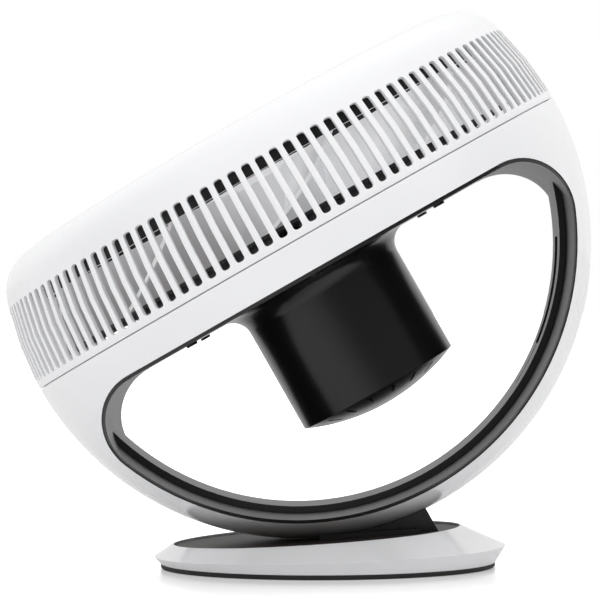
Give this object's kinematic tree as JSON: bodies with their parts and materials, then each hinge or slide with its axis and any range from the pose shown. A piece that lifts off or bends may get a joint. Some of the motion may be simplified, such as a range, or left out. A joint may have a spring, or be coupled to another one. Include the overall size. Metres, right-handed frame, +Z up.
{
  "type": "air circulator fan",
  "caption": "Air circulator fan with a slotted ball-shaped head that tilts on its own hoop in a roller cradle on a round base.",
  "frame": {"origin": "middle of the base's underside, on the surface that it stands on", "axes": "+Z up; the head looks towards -X and upwards at rest; the tilt axis runs along Y"},
  "size_m": [0.3475, 0.35, 0.3294],
  "materials": {
    "white_gloss": "glossy white moulding",
    "black_satin": "satin black moulding",
    "black_gloss": "glossy warm black plate",
    "pale_blade": "pale grey, slightly clear moulding",
    "pad_rubber": "soft black rubber",
    "roller_rubber": "hard rubber tyre",
    "screw_steel": "plated steel",
    "shaft_steel": "ground steel",
    "core_steel": "stacked sheet steel",
    "weight_iron": "painted iron",
    "winding_copper": "enamelled copper wire",
    "board_green": "circuit board"
  },
  "bodies": {
    "base": {"base_pad": "pad_rubber", "base_floor": "black_satin", "base_screws": "screw_steel", "base_shell": "white_gloss", "top_plate": "black_gloss", "cradle_block": "black_satin", "cradle_screws": "screw_steel", "roller_axles": "shaft_steel", "base_weights": "weight_iron", "control_board": "board_green", "power_inlet": "black_satin"},
    "left_roller": {"left_roller": "roller_rubber"},
    "right_roller": {"right_roller": "roller_rubber"},
    "head": {"front_ring": "white_gloss", "outlet_duct": "black_satin", "front_grille": "black_satin", "grille_cap": "black_satin", "hoop_shell": "white_gloss", "guide_rail": "black_satin", "hoop_liner": "black_satin", "rear_cover": "black_satin", "cover_screws": "screw_steel", "pod_cap": "black_satin", "driver_board": "board_green", "motor_housing": "screw_steel", "motor_end_cap": "screw_steel", "motor_bearings": "shaft_steel", "motor_stator": "core_steel", "motor_windings": "winding_copper", "motor_bracket": "screw_steel", "motor_screws": "screw_steel"},
    "fan": {"impeller": "pale_blade", "impeller_disc": "black_satin", "impeller_nut": "screw_steel", "motor_shaft": "shaft_steel", "motor_rotor": "core_steel"}
  },
  "joints": [
    {"name": "head_tilt", "type": "hinge", "parent": "base", "child": "head", "pos_m": [-0.0175, 0, 0.1923], "axis": [0, 1, 0], "range_deg": [-60.7, 29.3]},
    {"name": "fan_spin", "type": "hinge", "parent": "head", "child": "fan", "pos_m": [-0.0175, 0, 0.1923], "axis": [0.4894, 0, -0.8721], "continuous": true},
    {"name": "left_roller_spin", "type": "hinge", "parent": "base", "child": "left_roller", "pos_m": [0.00755, 0, 0.01521], "axis": [0, 1, 0], "range_deg": [-1290, 2660]},
    {"name": "right_roller_spin", "type": "hinge", "parent": "base", "child": "right_roller", "pos_m": [0.04586, 0, 0.02505], "axis": [0, 1, 0], "range_deg": [-1290, 2660]}
  ],
  "couplings": [
    {"joint": "left_roller_spin", "follows": "head_tilt", "ratio": -43.7},
    {"joint": "right_roller_spin", "follows": "head_tilt", "ratio": -43.7}
  ]
}
